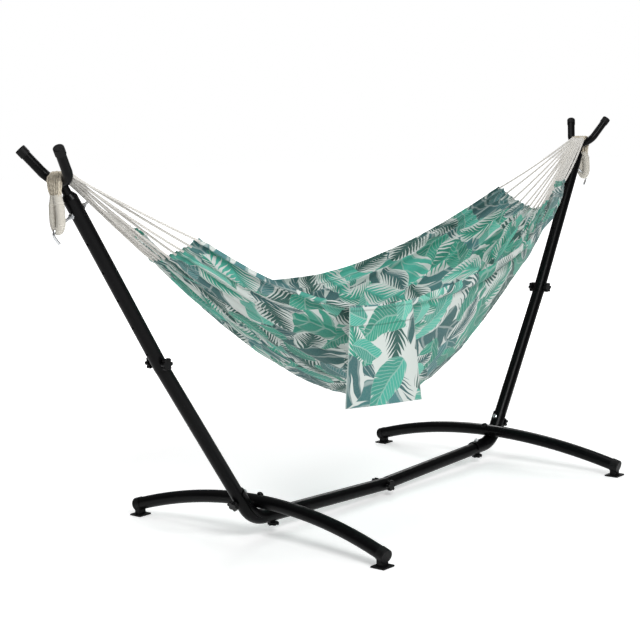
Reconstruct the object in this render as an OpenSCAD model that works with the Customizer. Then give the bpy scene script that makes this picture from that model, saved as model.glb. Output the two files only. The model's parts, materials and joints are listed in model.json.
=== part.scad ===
// Gathered-end cloth hammock on a two-arm tubular steel stand.
// +X runs along the hammock, +Z is up, and the origin is on the floor under the middle of the beam.

/* [Main tube] */
// Outside diameter of the beam and arm tubes
main_d = 44.5; // [38:0.5:52]
// Wall of every steel tube
wall = 1.6; // [1.2:0.1:2.5]
// Distance from the middle of the beam to the corner of a bend
corner_x = 647; // [560:1:760]
// Height of the corner of a bend above the floor
corner_z = 62; // [56:1:80]
// Height that the beam loses between a corner and its middle joint
beam_sag = 25; // [0:1:30]
// Bend radius of the tube's centre line
bend_r = 100; // [90:1:130]
// Slope of the lower part of an arm
arm_angle = 57.4; // [50:0.1:64]
// Extra slope of the upper part of an arm
arm_kink = 2.7; // [0:0.1:5]
// Length of an arm from the corner to its joint bolt
lower_len = 653; // [520:1:780]
// Length of an arm from the joint bolt to its top
upper_len = 592; // [560:1:720]
// Distance from a joint bolt to the seam below it
seam_below = 22; // [20:1:30]
// Length of the narrowed neck beyond the bolt
neck_len = 42; // [30:1:60]
// Radial gap between a neck and the tube around it
neck_gap = 0.3; // [0.1:0.05:0.6]
// Gap left at a seam so that the tube ends don't bind
seam_gap = 2; // [1.5:0.5:4]

/* [Fork] */
// Outside diameter of the fork tube
prong_d = 28.5; // [24:0.5:32]
// Radius of the saddle's centre line
saddle_r = 58; // [50:1:80]
// Angle that each prong turns through
prong_bend = 70; // [55:1:80]
// Straight length of a prong
prong_len = 80; // [50:1:120]
// Distance from the arm's top to the saddle's centre line
saddle_rise = 37; // [32:1:60]
// Outward lean of the fork from the arm
fork_lean = 6; // [0:1:12]
// Length of the stem inside the arm
stem_in = 70; // [50:1:100]
// Length of the cone at the arm's top
cone_len = 14; // [10:1:20]

/* [Legs] */
// Outside diameter of a leg
leg_d = 42; // [36:0.5:44]
// Distance between the ends of one leg tube
leg_span = 1084; // [900:2:1200]
// Height of a leg's end centre above the floor
leg_end_z = 34; // [30:1:45]
// Distance from the middle to a leg's end, along the beam
leg_end_x = 650; // [600:1:760]
// Width of a foot plate
foot_w = 50; // [40:1:60]
// Thickness of a foot plate
foot_t = 5; // [4:0.5:8]
// Distance from a leg's end to the middle of its foot
foot_in = 14; // [10:1:30]

/* [Fastenings] */
// Diameter of the bolts
bolt_d = 8; // [6:0.5:10]
// Diametral clearance of a bolt hole
hole_gap = 0.6; // [0.3:0.1:1.2]
// Diameter across a star knob
knob_d = 38; // [32:1:44]
// Thickness of a star knob's grip
knob_t = 12; // [9:1:16]
// Lobes on a star knob
knob_lobes = 6; // [5:1:7]
// Thickness of a corner bracket
bracket_t = 4; // [3:0.5:6]
// Distance from the corner to each bracket bolt
bracket_bolt = 95; // [88:1:110]

/* [Hooks] */
// Number of hanging holes in each arm
hole_count = 6; // [3:1:7]
// Distance between hanging holes
hole_pitch = 97; // [60:1:100]
// Distance from the arm's top to the first hanging hole
first_hole = 58; // [45:1:80]
// Length of a hook beyond the rope's eye
hook_play = 8; // [5:1:15]
// Radius of a hook's bend
hook_r = 17; // [14:1:24]

/* [Hammock] */
// Half the length of the cloth bed
bed_half = 960; // [800:1:1000]
// Half the width of the bed at its middle
bed_w = 430; // [350:1:480]
// Half the width of the bed at its ends
bed_end_w = 140; // [110:1:280]
// Height of the bed's underside at its middle
bed_low = 336; // [300:1:450]
// Lowest height of the near side edge, beside the pocket
near_edge_z = 735; // [650:1:800]
// Height of the bed's underside at its ends
bed_end_z = 893; // [820:1:920]
// Height of the near corner at the left end
near_left_z = 981; // [940:1:1050]
// Height of the near corner at the right end
near_right_z = 1041; // [940:1:1060]
// Height of the two far corners
far_corner_z = 1011; // [940:1:1050]
// Thickness of the bed solid
bed_t = 8; // [6:1:20]
// End cords at each end
cord_count = 16; // [8:2:24]
// Diameter of an end cord
cord_d = 4; // [3:0.5:5]
// Width of the pocket
pocket_w = 290; // [240:1:360]
// Height of the pocket
pocket_h = 312; // [240:1:340]
// Thickness of the pocket
pocket_t = 14; // [8:1:24]
// Place of the pocket's middle along the hammock
pocket_x = -430; // [-560:1:-300]

/* [Hidden] */
$fn = 48;

// Main tube, worked out
neck_d = main_d - 2 * wall - 2 * neck_gap;
slope = atan(beam_sag / corner_x);
beam_len = corner_x / cos(slope);
mid_z = corner_z - beam_sag;
turn = arm_angle - slope;
tangent = bend_r * tan(turn / 2);
top_angle = arm_angle + arm_kink;
seam_s = lower_len - seam_below;
hole_d = bolt_d + hole_gap;
joint_x = corner_x + lower_len * cos(arm_angle);
joint_z = corner_z + lower_len * sin(arm_angle);
top_x = joint_x + upper_len * cos(top_angle);
top_z = joint_z + upper_len * sin(top_angle);
seam_x = corner_x + seam_s * cos(arm_angle);
seam_z = corner_z + seam_s * sin(arm_angle);

// Fork and rope path, worked out
stem_d = prong_d - 3;
prong_step = 0.4;
weld_in = 1;
bend_step = 0.2;
saddle_x = top_x + saddle_rise * cos(top_angle);
saddle_z = top_z + saddle_rise * sin(top_angle);
strand_d = 9;
strand_pitch = 9.6;
saddle_gap = 2.8;
wrap_r = prong_d / 2 + saddle_gap + strand_d / 2;
leave_angle = 124;
gather_len = 20;
gather_x = saddle_x + wrap_r * cos(leave_angle) - gather_len * sin(leave_angle);
gather_z = saddle_z + wrap_r * sin(leave_angle) + gather_len * cos(leave_angle);

// Leg seat in the corner, worked out
seat_gap = 0.3;
corner_bisector = (arm_angle + 180 + slope) / 2;
arc_centre = bend_r / cos(turn / 2);
seat_off = arc_centre - (bend_r - main_d / 2 - 2 * seat_gap - bracket_t - leg_d / 2);
leg_x = corner_x + seat_off * cos(corner_bisector);
leg_z = corner_z + seat_off * sin(corner_bisector);
leg_rise = norm([leg_end_x - leg_x, leg_z - leg_end_z]);
leg_lean = atan2(leg_end_x - leg_x, leg_z - leg_end_z);
leg_r = (pow(leg_span / 2, 2) + pow(leg_rise, 2)) / (2 * leg_rise);
leg_half = asin(leg_span / 2 / leg_r);
knob_bore = 7.2;
cap_len = 24;
cap_t = 1.5;

// Hooks, worked out
hook_s = upper_len - first_hole;
hook_x = joint_x + hook_s * cos(top_angle);
hook_z = joint_z + hook_s * sin(top_angle);
eye_x = saddle_x + wrap_r;
eye_in = (eye_x - hook_x) / cos(top_angle - 90);
hook_reach = eye_in + hook_play;
hook_down = 100;
loop_r = 16;
loop_d = 9;
washer_t = 2;
nut_t = 7;
nut_w = 14;
hub_t = 6;
hub_d = 17;
head_t = 5;

// Hammock, worked out
sections = 24;
steps = 14;
edge_angle = 78;
far_low_x = 100;
belly_bend = 1.45;
belly_tuck = 0.22;
belly_taper = 0.5;
cord_gap = 0.5;
cord_spread = 0.8;
pocket_gap = 14;
pocket_y_in = bed_width(pocket_x + pocket_w / 2);
pocket_y_out = bed_width(pocket_x - pocket_w / 2);
pocket_top = near_edge_z + 9;

// A transform that takes local +X to the given slope in the XZ plane
module along(x, z, angle) {
  translate([x, 0, z]) rotate([0, -angle, 0]) children();
}

// The left side is the mirror of the right side
module side(left) {
  mirror([left ? 1 : 0, 0, 0]) children();
}

module rod(length, d) {
  rotate([0, 90, 0]) cylinder(h = length, d = d);
}

module pipe(length, od, id) {
  difference() {
    rod(length, od);
    translate([-1, 0, 0]) rod(length + 2, id);
  }
}

// A bend that starts at the local origin along +X and turns up. It is a trace thinner than
// the straight pieces it joins, and reaches a little way into both. The bore is optional.
module bend(angle, r, od, id = 0) {
  reach = asin(weld_in / r);
  translate([0, 0, r]) rotate([90, 0, 0]) rotate([0, 0, -90 - reach])
    rotate_extrude(angle = angle + 2 * reach) translate([r, 0]) difference() {
      circle(d = od - bend_step);
      if (id > 0) circle(d = id + bend_step);
    }
}

// A narrowed neck with the shoulder that joins it to its tube, starting at the seam
module neck(length) {
  pipe(length, neck_d, neck_d - 2 * wall);
  translate([-3, 0, 0]) difference() {
    rotate([0, 90, 0]) cylinder(h = 5, d1 = main_d - wall, d2 = neck_d - bend_step);
    translate([-1, 0, 0]) rod(7, neck_d - 2 * wall + bend_step);
  }
}

// A hole across the tube, along Y
module cross_hole(x, z) {
  translate([x, main_d, z]) rotate([90, 0, 0]) cylinder(h = 2 * main_d, d = hole_d);
}

module bracket_holes(d) {
  along(corner_x, corner_z, 180 + slope) translate([bracket_bolt, 0, -60]) cylinder(h = 120, d = d);
  along(corner_x, corner_z, arm_angle) translate([bracket_bolt, 0, -60]) cylinder(h = 120, d = d);
}

// Beam half, bend and lower arm in one bent tube, for the right side
module lower_tube(beam_start) {
  along(0, mid_z, slope) translate([beam_start, 0, 0])
    pipe(beam_len - tangent - beam_start, main_d, main_d - 2 * wall);
  along(corner_x, corner_z, slope) translate([-tangent, 0, 0])
    bend(turn, bend_r, main_d, main_d - 2 * wall);
  along(corner_x, corner_z, arm_angle) translate([tangent, 0, 0])
    pipe(seam_s - tangent, main_d, main_d - 2 * wall);
  along(joint_x, joint_z, top_angle) translate([-seam_below, 0, 0]) neck(seam_below + neck_len);
}

module lower_tube_left() {
  color("#17181a") difference() {
    side(true) lower_tube(-seam_below);
    cross_hole(0, mid_z);
    cross_hole(-joint_x, joint_z);
    side(true) bracket_holes(hole_d);
  }
}

module lower_tube_right() {
  color("#17181a") difference() {
    union() {
      lower_tube(seam_below + seam_gap);
      along(seam_below + seam_gap, mid_z - (seam_below + seam_gap) * tan(slope), 180 - slope)
        neck(seam_below + seam_gap + neck_len);
    }
    cross_hole(0, mid_z);
    cross_hole(joint_x, joint_z);
    bracket_holes(hole_d);
  }
}

module upper_arm(left) {
  color("#17181a") side(left) difference() {
    along(joint_x, joint_z, top_angle) {
      translate([seam_gap - seam_below, 0, 0])
        pipe(upper_len - cone_len + seam_below - seam_gap, main_d, main_d - 2 * wall);
      translate([upper_len - cone_len, 0, 0]) difference() {
        rotate([0, 90, 0]) cylinder(h = cone_len, d1 = main_d, d2 = stem_d + 2 * wall);
        translate([-1, 0, 0]) rod(cone_len + 2, stem_d + 0.2);
      }
    }
    cross_hole(joint_x, joint_z);
    for (i = [0 : hole_count - 1]) along(joint_x, joint_z, top_angle)
      translate([hook_s - i * hole_pitch, 0, -main_d]) cylinder(h = 2 * main_d, d = hole_d);
  }
}

// The bottom of the fork is a round saddle that the rope hangs over; the stem is bored from below
module fork(left) {
  stem_len = saddle_rise + stem_in;
  color("#17181a") side(left) along(saddle_x, saddle_z, top_angle) difference() {
    union() {
      rotate([0, fork_lean, 0]) {
        translate([saddle_r, 0, 0]) rotate([0, 0, 180 - prong_bend])
          rotate_extrude(angle = 2 * prong_bend) translate([saddle_r, 0]) circle(d = prong_d);
        for (m = [0, 1]) mirror([0, m, 0]) fork_end() translate([-weld_in, 0, 0])
          pipe(prong_len + weld_in, prong_d - prong_step, prong_d - 2 * wall);
      }
      translate([-stem_len, 0, 0]) rod(stem_len, stem_d);
    }
    translate([-stem_len - 1, 0, 0]) rod(stem_len - prong_d, stem_d - 2 * wall);
    translate([-saddle_rise - first_hole, 0, -main_d]) cylinder(h = 2 * main_d, d = hole_d);
  }
}

// Places its child at the end of the prong's bend, along the prong
module fork_end() {
  translate([saddle_r * (1 - cos(prong_bend)), saddle_r * sin(prong_bend), 0])
    rotate([0, 0, 90 - prong_bend]) children();
}

module fork_caps(left) {
  color("#0b0b0c") side(left) along(saddle_x, saddle_z, top_angle) rotate([0, fork_lean, 0])
    for (m = [0, 1]) mirror([0, m, 0]) fork_end() translate([prong_len, 0, 0])
      tube_cap(prong_d, 20);
}

// A sleeve cap with a rounded end, over the end of a tube that stops at the local origin
module tube_cap(d, length) {
  rotate([0, 90, 0]) rotate_extrude() polygon(concat(
    [[d / 2 + 0.1, -length], [d / 2 + cap_t, -length]],
    [for (a = [0 : 15 : 90]) [d / 2 + cap_t - 3 + 3 * cos(a), 1 + 3 * sin(a)]],
    [[0, 4], [0, 0.1], [d / 2 + 0.1, 0.1]]
  ));
}

// Places its child in the plane of the arched leg, with the arch's top at the local origin
module leg_plane(left) {
  side(left) translate([leg_x, 0, leg_z]) rotate([0, -leg_lean, 0]) children();
}

// The leg's arc; local Z points to the top of the arch
module leg(left) {
  color("#17181a") difference() {
    leg_plane(left) translate([0, 0, -leg_r]) rotate([90, 0, 90]) rotate([0, 0, 90 - leg_half])
      rotate_extrude(angle = 2 * leg_half) translate([leg_r, 0]) difference() {
        circle(d = leg_d);
        circle(d = leg_d - 2 * wall);
      }
    side(left) along(leg_x, leg_z, corner_bisector) translate([-leg_d, 0, 0]) rod(2 * leg_d, hole_d);
  }
}

// Places its child at the leg's end, with local +X pointing out of the tube
module leg_end() {
  for (m = [0, 1]) mirror([0, m, 0]) translate([0, 0, -leg_r]) rotate([leg_half, 0, 0])
    translate([0, 0, leg_r]) rotate([0, 0, -90]) children();
}

module leg_caps(left) {
  color("#0b0b0c") leg_plane(left) leg_end() tube_cap(leg_d, cap_len);
}

// Flat plates with a neck that meets the cap at each end of a leg
module feet(left) {
  foot_y = leg_span / 2 - foot_in;
  neck_x = foot_w * 0.6;
  neck_y = foot_w * 0.4;
  color("#0b0b0c") difference() {
    side(left) for (m = [0, 1]) mirror([0, m, 0]) {
      translate([leg_end_x - foot_w / 2, foot_y - foot_w / 2, 0]) cube([foot_w, foot_w, foot_t]);
      translate([leg_end_x - neck_x / 2, foot_y - neck_y / 2, foot_t / 2])
        cube([neck_x, neck_y, leg_end_z - foot_t]);
    }
    leg_plane(left) leg_end() translate([-2 * foot_w, 0, 0]) rod(4 * foot_w, leg_d + 2 * cap_t);
  }
}

// A half-round saddle that lines the inside of the bend and carries the leg
module bracket(left) {
  reach = bracket_bolt + 22 - tangent;
  inner = main_d + 2 * seat_gap;
  weld_turn = asin(weld_in / bend_r);
  color("#141517") side(left) difference() {
    union() {
      along(corner_x, corner_z, slope) translate([-tangent - reach, 0, 0]) half_pipe(reach, inner);
      along(corner_x, corner_z, slope) translate([-tangent, 0, bend_r])
        rotate([90, 0, 0]) rotate([0, 0, -90 - weld_turn]) rotate_extrude(angle = turn + 2 * weld_turn)
          translate([bend_r, 0]) rotate(90) half_ring(inner, bend_step);
      along(corner_x, corner_z, arm_angle) translate([tangent, 0, 0]) half_pipe(reach, inner);
    }
    bracket_holes(hole_d);
    along(leg_x, leg_z, corner_bisector + 180) rod(leg_d, hole_d);
  }
}

module half_ring(inner, step = 0) {
  difference() {
    circle(d = inner + 2 * bracket_t - step);
    circle(d = inner + step);
    translate([-inner, -2 * inner + step]) square(2 * inner);
  }
}

module half_pipe(length, inner) {
  rotate([90, 0, 90]) linear_extrude(length) half_ring(inner);
}

// Domed bolt through the leg into its bracket
module leg_bolt(left) {
  reach = leg_d / 2 + seat_gap + bracket_t - 0.4;
  color("#0e0e10") side(left) along(leg_x, leg_z, corner_bisector) {
    translate([-reach, 0, 0]) rod(reach + leg_d / 2 + 1, bolt_d);
    translate([leg_d / 2 + 0.2, 0, 0]) rotate([0, 90, 0]) rotate_extrude() polygon(concat(
      [[0, 0]], [for (a = [0 : 15 : 90]) [11 * cos(a), 9 * sin(a)]]
    ));
  }
}

// Star grip with a round hub on its local -Z side
module star_knob(bore) {
  difference() {
    union() {
      translate([0, 0, hub_t]) linear_extrude(knob_t) union() {
        circle(d = knob_d * 0.72);
        for (i = [1 : knob_lobes]) rotate(360 / knob_lobes * i)
          translate([knob_d * 0.35, 0]) circle(d = knob_d * 0.3);
      }
      cylinder(h = hub_t + 1, d = hub_d);
    }
    translate([0, 0, -1]) cylinder(h = hub_t + bore, d = bolt_d + 0.1);
  }
}

// Frames of the cross joints: local +Z points out of the near face of the tube
module near_face(x, z) {
  translate([x, -main_d / 2 - 0.3, z]) rotate([90, 0, 0]) children();
}

module far_face(x, z) {
  translate([x, main_d / 2 + 0.3, z]) rotate([-90, 0, 0]) children();
}

module cross_screw(x, z) {
  reach = main_d / 2 + hub_t + 6;
  color("#c9cbcd") translate([x, reach, z]) rotate([90, 0, 0]) cylinder(h = 2 * reach, d = bolt_d);
}

module near_knob(x, z) {
  color("#101011") near_face(x, z) star_knob(knob_bore);
}

module far_knob(x, z) {
  color("#101011") far_face(x, z) star_knob(knob_bore);
}

// Frames of the bracket bolts: local +Z points out of the outside of the tube
module beam_bolt_frame() {
  along(corner_x, corner_z, 180 + slope) translate([bracket_bolt, 0, 0]) children();
}

module arm_bolt_frame() {
  along(corner_x, corner_z, arm_angle) translate([bracket_bolt, 0, 0]) rotate([180, 0, 0]) children();
}

// A bolt with a washer and a hexagon head on the inside of the bend
module bracket_bolt_shape() {
  out = main_d / 2 + hub_t + 6;
  in = main_d / 2 + seat_gap + bracket_t;
  translate([0, 0, -in - 1]) cylinder(h = in + 1 + out, d = bolt_d);
  translate([0, 0, -in - washer_t - 0.1]) cylinder(h = washer_t, d = 2 * bolt_d);
  translate([0, 0, -in - washer_t - head_t]) cylinder(h = head_t, d = nut_w, $fn = 6);
}

module bracket_bolts(left) {
  color("#c9cbcd") side(left) {
    beam_bolt_frame() bracket_bolt_shape();
    arm_bolt_frame() bracket_bolt_shape();
  }
}

module floor_knob(left) {
  color("#101011") side(left) beam_bolt_frame() translate([0, 0, main_d / 2 + 0.3]) floor_grip();
}

// A flat star knob, low enough to clear the floor
module floor_grip() {
  difference() {
    union() {
      translate([0, 0, 3]) linear_extrude(knob_t - 3) union() {
        circle(d = knob_d * 0.72);
        for (i = [1 : knob_lobes]) rotate(360 / knob_lobes * i)
          translate([knob_d * 0.35, 0]) circle(d = knob_d * 0.3);
      }
      cylinder(h = 4, d = hub_d);
    }
    translate([0, 0, -1]) cylinder(h = hub_t + 7.2, d = bolt_d + 0.1);
  }
}

module outer_knob(left) {
  color("#101011") side(left) arm_bolt_frame() translate([0, 0, main_d / 2 + 0.3]) star_knob(knob_bore);
}

// The hook bolt's frame: local +X points out of the arm's outer face
module hook_frame(left) {
  side(left) along(hook_x, hook_z, top_angle - 90) children();
}

// A bent rod with a threaded end, through the arm's top hole
module hook(left) {
  inner = main_d / 2 + washer_t + nut_t + 12;
  color("#c9cbcd") hook_frame(left) {
    translate([-inner, 0, 0]) rod(inner + hook_reach, bolt_d);
    translate([hook_reach, 0, 0]) mirror([0, 0, 1]) {
      bend(hook_down, hook_r, bolt_d);
      translate([hook_r * sin(hook_down), 0, hook_r * (1 - cos(hook_down))]) rotate([0, -hook_down, 0])
        rod(20, bolt_d);
    }
  }
}

module washer_ring(t) {
  difference() {
    rod(t, 2.4 * bolt_d);
    translate([-1, 0, 0]) rod(t + 2, bolt_d + 0.2);
  }
}

// Washers and the outer lock nut, which stay on the hook
module hook_washers(left) {
  color("#c9cbcd") hook_frame(left) {
    translate([main_d / 2 + 0.2, 0, 0]) washer_ring(washer_t);
    translate([-main_d / 2 - washer_t - 0.2, 0, 0]) washer_ring(washer_t);
    translate([main_d / 2 + washer_t + 0.4, 0, 0]) nut_shape();
  }
}

module nut_shape() {
  difference() {
    rotate([0, 90, 0]) cylinder(h = nut_t, d = nut_w * 1.12, $fn = 6);
    translate([-1, 0, 0]) rod(nut_t + 2, bolt_d + 0.2);
  }
}

module hook_nut(left) {
  color("#c9cbcd") hook_frame(left)
    translate([-main_d / 2 - washer_t - nut_t - 0.6, 0, 0]) nut_shape();
}

// Height of the eye's centre, where the rope's underside pulls up on the slanted hook
eye_z = hook_z + eye_in * sin(top_angle - 90) + loop_r
  - (loop_d + bolt_d) / 2 / cos(top_angle - 90) - 0.4;
whip_top = saddle_z - 30;

// Band of rope strands over the saddle and down its outer side
module eye_strands(left) {
  band = strand_d + 2 * strand_pitch;
  color("#d9cdb4") side(left) translate([saddle_x, 0, saddle_z]) rotate([90, 0, 0])
    translate([0, 0, -band / 2]) linear_extrude(band) {
      difference() {
        rotate(leave_angle / 2) wedge(wrap_r + strand_d / 2, leave_angle);
        circle(r = wrap_r - strand_d / 2);
      }
      rotate(leave_angle) translate([wrap_r - strand_d / 2 + bend_step, -weld_in])
        square([strand_d - 2 * bend_step, gather_len + weld_in]);
      translate([wrap_r - strand_d / 2 + bend_step, whip_top - saddle_z])
        square([strand_d - 2 * bend_step, saddle_z - whip_top + weld_in]);
    }
}

// Slice of a disc, centred on +X
module wedge(r, angle) {
  intersection() {
    circle(r = r);
    polygon([[0, 0], for (k = [-2 : 2]) 2 * r * [cos(k * angle / 4), sin(k * angle / 4)]]);
  }
}

// Whipped part of the rope and the eye around the hook
module eye_loop(left) {
  whip_low = eye_z + loop_r;
  color("#d9cdb4") side(left) translate([eye_x, 0, 0]) {
    translate([0, 0, whip_low])
      cylinder(h = whip_top - whip_low, d1 = 2.4 * strand_d, d2 = 3.3 * strand_pitch);
    translate([0, 0, eye_z]) rotate([0, 90, 0]) rotate_extrude() translate([loop_r, 0]) circle(d = loop_d);
  }
}

// Side edge, underside and half width of the bed at a distance x from its middle
function share(x) = pow(abs(x) / bed_half, 2);
function bed_width(x) = bed_w + (bed_end_w - bed_w) * share(x);
function sagging(x, low_x, low_z, left_z, right_z, right_bend) = low_z + (x < low_x
  ? (left_z - low_z) * pow((low_x - x) / (bed_half + low_x), 2)
  : (right_z - low_z) * pow((x - low_x) / (bed_half - low_x), right_bend));
function bed_edge(x, a) = a < 0
  ? sagging(x, pocket_x + 50, near_edge_z, near_left_z, near_right_z, 1.35)
  : sagging(x, far_low_x, near_edge_z - 4, far_corner_z, far_corner_z, 2);
function bed_bottom(x) = bed_low + (bed_end_z - bed_low) * pow(abs(x) / bed_half, belly_bend);
function tuck(x, a) = 1 - (belly_tuck + belly_taper * abs(x) / bed_half) * (cos(a) - cos(edge_angle));

// A point of the bed's section; inset moves it to the inner face
function bed_point(x, a, inset) = [
  x,
  (bed_width(x) - inset) * sin(a) / sin(edge_angle) * tuck(x, a),
  bed_edge(x, a) - (bed_edge(x, a) - bed_bottom(x) - inset)
    * (cos(a) - cos(edge_angle)) / (1 - cos(edge_angle))
];
function bed_ring(x) = concat(
  [for (i = [0 : steps]) bed_point(x, -edge_angle + 2 * edge_angle * i / steps, 0)],
  [for (i = [steps : -1 : 0]) bed_point(x, -edge_angle + 2 * edge_angle * i / steps, bed_t)]
);

// Two triangles for each four-sided face
function halves(quads) = [for (q = quads) each [[q[0], q[1], q[2]], [q[0], q[2], q[3]]]];

// A solid through the bed's rings; each end is closed between its outer and inner edges
module loft(rings) {
  n = len(rings[0]);
  last = len(rings) - 1;
  polyhedron(
    points = [for (ring = rings) for (p = ring) p],
    faces = halves(concat(
      [for (k = [0 : last - 1]) for (i = [0 : n - 1])
        [k * n + i, k * n + (i + 1) % n, (k + 1) * n + (i + 1) % n, (k + 1) * n + i]],
      [for (i = [0 : n / 2 - 2]) [i, n - 1 - i, n - 2 - i, i + 1]],
      [for (i = [0 : n / 2 - 2])
        [last * n + i, last * n + i + 1, last * n + n - 2 - i, last * n + n - 1 - i]]
    ))
  );
}

module bed() {
  color("#4f9a86") loft([for (k = [0 : sections]) bed_ring(bed_half - 2 * bed_half * k / sections)]);
}

module pocket() {
  turn_out = atan2(pocket_y_in - pocket_y_out, pocket_w);
  color("#4f9a86") translate([pocket_x, -(pocket_y_in + pocket_y_out) / 2 - pocket_gap, pocket_top])
    rotate([0, 0, -turn_out]) translate([-pocket_w / 2, -pocket_t, -pocket_h])
      cube([pocket_w, pocket_t, pocket_h]);
}

// A straight cord between two points
module cord(a, b) {
  d = b - a;
  translate(a) rotate([0, acos(d.z / norm(d)), atan2(d.y, d.x)]) cylinder(h = norm(d), d = cord_d);
}

// Where each cord meets the hem, and the closest two of them as seen along the hammock
function hem_point(end, i) = let (t = 2 * i / (cord_count - 1) - 1)
  bed_point(end * bed_half, sign(t) * pow(abs(t), cord_spread) * (edge_angle - 4), bed_t / 2);
function hem_pitch(end) = min([for (i = [0 : cord_count - 2])
  let (step = hem_point(end, i + 1) - hem_point(end, i)) norm([step.y, step.z])]);

// Cords that fan out to the end hem from a copy of its curve, made so small that the cords just clear
module end_cords(left) {
  hem_mid_z = (far_corner_z + bed_end_z) / 2;
  end = left ? -1 : 1;
  gather_share = (cord_d + cord_gap) / hem_pitch(end);
  color("#ded5c2") for (i = [0 : cord_count - 1]) {
    hem = hem_point(end, i);
    start = [end * (gather_x - 5), hem.y * gather_share, gather_z + (hem.z - hem_mid_z) * gather_share];
    cord(start, hem + [end * 1.5, 0, 0]);
  }
}

lower_tube_left();
lower_tube_right();
upper_arm(true);  // upper_arm_left
upper_arm(false);  // upper_arm_right
fork(true);  // fork_left
fork(false);  // fork_right
fork_caps(true);  // fork_caps_left
fork_caps(false);  // fork_caps_right
leg(true);  // leg_left
leg(false);  // leg_right
leg_caps(true);  // leg_caps_left
leg_caps(false);  // leg_caps_right
feet(true);  // feet_left
feet(false);  // feet_right
bracket(true);  // bracket_left
bracket(false);  // bracket_right
leg_bolt(true);  // leg_bolt_left
leg_bolt(false);  // leg_bolt_right
cross_screw(-joint_x, joint_z);  // arm_screw_left
cross_screw(joint_x, joint_z);  // arm_screw_right
cross_screw(0, mid_z);  // beam_screw
near_knob(-joint_x, joint_z);  // arm_knob_left
near_knob(joint_x, joint_z);  // arm_knob_right
near_knob(0, mid_z);  // beam_knob
far_knob(-joint_x, joint_z);  // arm_nut_knob_left
far_knob(joint_x, joint_z);  // arm_nut_knob_right
far_knob(0, mid_z);  // beam_nut_knob
bracket_bolts(true);  // bracket_bolts_left
bracket_bolts(false);  // bracket_bolts_right
floor_knob(true);  // floor_knob_left
floor_knob(false);  // floor_knob_right
outer_knob(true);  // outer_knob_left
outer_knob(false);  // outer_knob_right
hook(true);  // hook_left
hook(false);  // hook_right
hook_washers(true);  // hook_washers_left
hook_washers(false);  // hook_washers_right
hook_nut(true);  // hook_nut_left
hook_nut(false);  // hook_nut_right
eye_strands(true);  // eye_strands_left
eye_strands(false);  // eye_strands_right
eye_loop(true);  // eye_loop_left
eye_loop(false);  // eye_loop_right
end_cords(true);  // end_cords_left
end_cords(false);  // end_cords_right
bed();
pocket();
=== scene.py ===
import json
import math
import random

import bpy
from mathutils import Matrix, Vector, noise


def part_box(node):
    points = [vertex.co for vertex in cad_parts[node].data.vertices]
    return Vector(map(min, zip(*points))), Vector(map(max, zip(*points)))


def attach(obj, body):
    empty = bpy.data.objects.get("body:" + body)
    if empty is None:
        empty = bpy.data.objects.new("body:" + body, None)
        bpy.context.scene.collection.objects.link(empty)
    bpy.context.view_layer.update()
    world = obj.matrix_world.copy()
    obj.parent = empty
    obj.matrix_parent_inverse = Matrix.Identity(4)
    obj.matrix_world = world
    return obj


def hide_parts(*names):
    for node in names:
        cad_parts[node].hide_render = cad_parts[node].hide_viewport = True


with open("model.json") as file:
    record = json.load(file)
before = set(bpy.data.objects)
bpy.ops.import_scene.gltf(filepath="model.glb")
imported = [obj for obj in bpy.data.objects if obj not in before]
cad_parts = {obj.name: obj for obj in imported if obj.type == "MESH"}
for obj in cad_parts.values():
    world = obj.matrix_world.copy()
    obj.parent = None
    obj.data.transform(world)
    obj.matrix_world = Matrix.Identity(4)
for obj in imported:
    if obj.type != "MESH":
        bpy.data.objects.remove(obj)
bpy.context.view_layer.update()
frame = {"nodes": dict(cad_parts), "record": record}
nodes = frame["nodes"]
print("stand loaded:", len(nodes), "nodes")


# ---- camera, floor and studio light

view = {
    "place": (-3.8600, -3.2178, 1.2959),
    "lookAt": (-0.2896, 0.0, 0.6482),
    "roll": -2.44,  # degrees
    "lens": 83.6,
}


def placeCamera():
    back = (Vector(view["place"]) - Vector(view["lookAt"])).normalized()
    right = Vector((0, 0, 1)).cross(back).normalized()
    up = back.cross(right)
    r = math.radians(view["roll"])
    rolledRight = right * math.cos(r) + up * math.sin(r)
    rolledUp = up * math.cos(r) - right * math.sin(r)
    data = bpy.data.cameras.new("studioCamera")
    data.lens = view["lens"]
    data.clip_end = 100
    camera = bpy.data.objects.new("studioCamera", data)
    turn = Matrix((rolledRight, rolledUp, back)).transposed().to_4x4()
    camera.matrix_world = Matrix.Translation(view["place"]) @ turn
    bpy.context.scene.collection.objects.link(camera)
    bpy.context.scene.camera = camera


studio = {
    "floorSize": 60.0,
    "floorColor": (0.93, 0.93, 0.93),
    "floorGlow": 0.30,
    "farGlow": (2.0, 4.2, 0.10, 0.95),  # from, to, near, far: keeps the far floor white
    "skyLow": 0.04,  # what the tubes mirror at eye level
    "skyHigh": 0.32,
    "skyRise": (0.05, 0.9),  # where the sky turns from low to high
    # name, place, aim, size, watts
    "lamps": (
        ("keySoftbox", (-2.2, -3.9, 3.5), (0.0, 0.0, 0.5), 2.2, 175),
        ("topSoftbox", (0.6, 0.6, 5.0), (0.1, 0.0, 0.4), 4.0, 75),
        ("rimSoftbox", (3.6, 2.6, 3.2), (0.2, 0.0, 0.6), 2.0, 60),
    ),
}


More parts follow.
